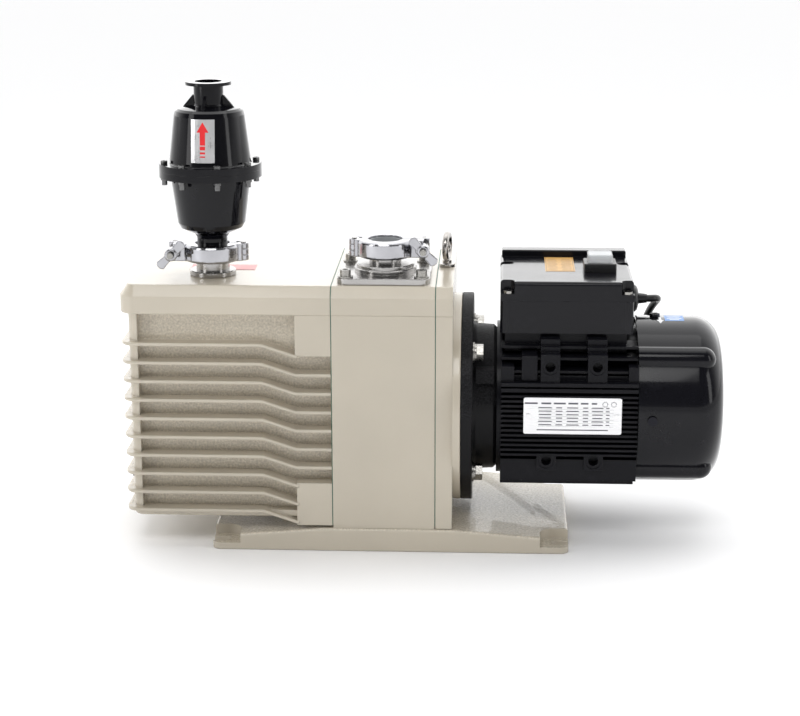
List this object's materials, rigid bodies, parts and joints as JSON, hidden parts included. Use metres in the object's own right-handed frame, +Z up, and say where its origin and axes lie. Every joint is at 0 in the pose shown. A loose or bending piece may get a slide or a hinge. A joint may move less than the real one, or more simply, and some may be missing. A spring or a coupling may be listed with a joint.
{
  "type": "rotary vane vacuum pump",
  "caption": "Oil-sealed rotary vane vacuum pump on a base plate, with a flange-mounted motor, an exhaust mist filter and a mains lead.",
  "frame": {"origin": "on the floor, under the centre of the base plate", "axes": "+X along the shaft towards the motor's fan, +Y away from the side with the nameplate, +Z up"},
  "size_m": [0.5716, 0.3055, 0.4344],
  "materials": {
    "paint": "satin",
    "gasket_green": "matte",
    "cast_grey": "as cast",
    "machined_steel": "ground",
    "vane": "matte",
    "seal_rubber": "matte",
    "cast_aluminium": "cast",
    "spider_rubber": "matte",
    "stainless": "polished",
    "blank_plastic": "satin",
    "clamp_aluminium": "polished",
    "steel_bolt": "zinc plated",
    "filter_black": "gloss",
    "filter_media": "matte",
    "eyebolt_steel": "plated",
    "sight_glass": "clear",
    "plug_black": "satin",
    "motor_black": "satin",
    "windings": "varnished",
    "fan_plastic": "matte",
    "cowl_black": "gloss",
    "box_black": "satin",
    "capacitor_can": "gloss",
    "rocker_black": "gloss",
    "clear_boot": "clear soft plastic",
    "gland_black": "gloss",
    "nameplate_metal": "printed",
    "cord_pvc": "satin",
    "plug_pvc": "satin"
  },
  "bodies": {
    "housing": {"base": "paint", "socket_screws": "steel_bolt", "oil_case": "paint", "gaskets": "gasket_green", "pump_housing": "paint", "end_plate": "paint", "high_cylinder": "cast_grey", "low_cylinder": "cast_grey", "side_plates": "cast_grey", "shaft_seal": "seal_rubber", "inlet_flange": "stainless", "inlet_blank": "blank_plastic", "centring_rings": "stainless", "clamp_pins": "stainless", "inlet_clamp_front": "clamp_aluminium", "inlet_clamp_rear": "clamp_aluminium", "exhaust_clamp_front": "clamp_aluminium", "exhaust_clamp_rear": "clamp_aluminium", "exhaust_port": "stainless", "filter_bowl": "filter_black", "filter_cover": "filter_black", "filter_element": "filter_media", "filter_bolts": "steel_bolt", "eyebolt": "eyebolt_steel", "sight_glass": "sight_glass", "oil_plugs": "plug_black", "drive_end_shield": "motor_black", "flange_bolts": "steel_bolt", "stator_frame": "motor_black", "wound_stator": "windings", "motor_bearings": "machined_steel", "rear_end_shield": "motor_black", "fan_cowl": "cowl_black", "motor_screws": "steel_bolt", "capacitor_box": "box_black", "box_lid": "box_black", "capacitors": "capacitor_can", "switch_housing": "plug_black", "switch_boot": "clear_boot", "cable_gland": "gland_black", "nameplate": "nameplate_metal", "power_cord": "cord_pvc", "cord_coil": "cord_pvc", "mains_plug": "plug_pvc"},
    "shaft": {"pump_rotor": "machined_steel", "coupling_hubs": "cast_aluminium", "coupling_spider": "spider_rubber", "motor_rotor": "machined_steel", "cooling_fan": "fan_plastic"},
    "high_vane_front": {"high_vane_front": "vane"},
    "high_vane_rear": {"high_vane_rear": "vane"},
    "low_vane_front": {"low_vane_front": "vane"},
    "low_vane_rear": {"low_vane_rear": "vane"},
    "exhaust_valve": {"exhaust_valve": "machined_steel"},
    "inlet_swing_bolt": {"inlet_swing_bolt": "steel_bolt"},
    "exhaust_swing_bolt": {"exhaust_swing_bolt": "steel_bolt"},
    "inlet_wing_nut": {"inlet_wing_nut": "clamp_aluminium"},
    "exhaust_wing_nut": {"exhaust_wing_nut": "clamp_aluminium"},
    "rocker": {"switch_rocker": "rocker_black"},
    "ballast_knob": {"gas_ballast_knob": "plug_black"}
  },
  "joints": [
    {"name": "shaft_spin", "type": "hinge", "parent": "housing", "child": "shaft", "pos_m": [0, 0, 0.127], "axis": [1, 0, 0], "continuous": true},
    {"name": "high_vane_front_slide", "type": "slide", "parent": "shaft", "child": "high_vane_front", "axis": [0, -1, 0], "range_m": [0, 0.0055]},
    {"name": "high_vane_rear_slide", "type": "slide", "parent": "shaft", "child": "high_vane_rear", "axis": [0, 1, 0], "range_m": [0, 0.0055]},
    {"name": "low_vane_front_slide", "type": "slide", "parent": "shaft", "child": "low_vane_front", "axis": [0, -1, 0], "range_m": [0, 0.0055]},
    {"name": "low_vane_rear_slide", "type": "slide", "parent": "shaft", "child": "low_vane_rear", "axis": [0, 1, 0], "range_m": [0, 0.0055]},
    {"name": "exhaust_valve_lift", "type": "slide", "parent": "housing", "child": "exhaust_valve", "axis": [0, 0, 1], "range_m": [0, 0.002], "stiffness_N_per_m": 150, "springref_m": -0.002},
    {"name": "inlet_bolt_swing", "type": "hinge", "parent": "housing", "child": "inlet_swing_bolt", "pos_m": [0.03, -0.032, 0.281], "axis": [0, 0, 1], "range_deg": [0, 90]},
    {"name": "exhaust_bolt_swing", "type": "hinge", "parent": "housing", "child": "exhaust_swing_bolt", "pos_m": [-0.204, -0.032, 0.276], "axis": [0, 0, -1], "range_deg": [0, 90]},
    {"name": "inlet_nut_turn", "type": "hinge", "parent": "inlet_swing_bolt", "child": "inlet_wing_nut", "pos_m": [0.03, -0.038, 0.281], "axis": [0, -1, 0], "range_deg": [0, 360]},
    {"name": "exhaust_nut_turn", "type": "hinge", "parent": "exhaust_swing_bolt", "child": "exhaust_wing_nut", "pos_m": [-0.204, -0.038, 0.276], "axis": [0, -1, 0], "range_deg": [0, 360]},
    {"name": "switch_rock", "type": "hinge", "parent": "housing", "child": "rocker", "pos_m": [0.1959, 0.008, 0.256], "axis": [0, -1, 0], "range_deg": [0, 16]},
    {"name": "gas_ballast_turn", "type": "hinge", "parent": "housing", "child": "ballast_knob", "pos_m": [0, 0.0905, 0.2], "axis": [0, 1, 0], "range_deg": [0, 180]}
  ]
}
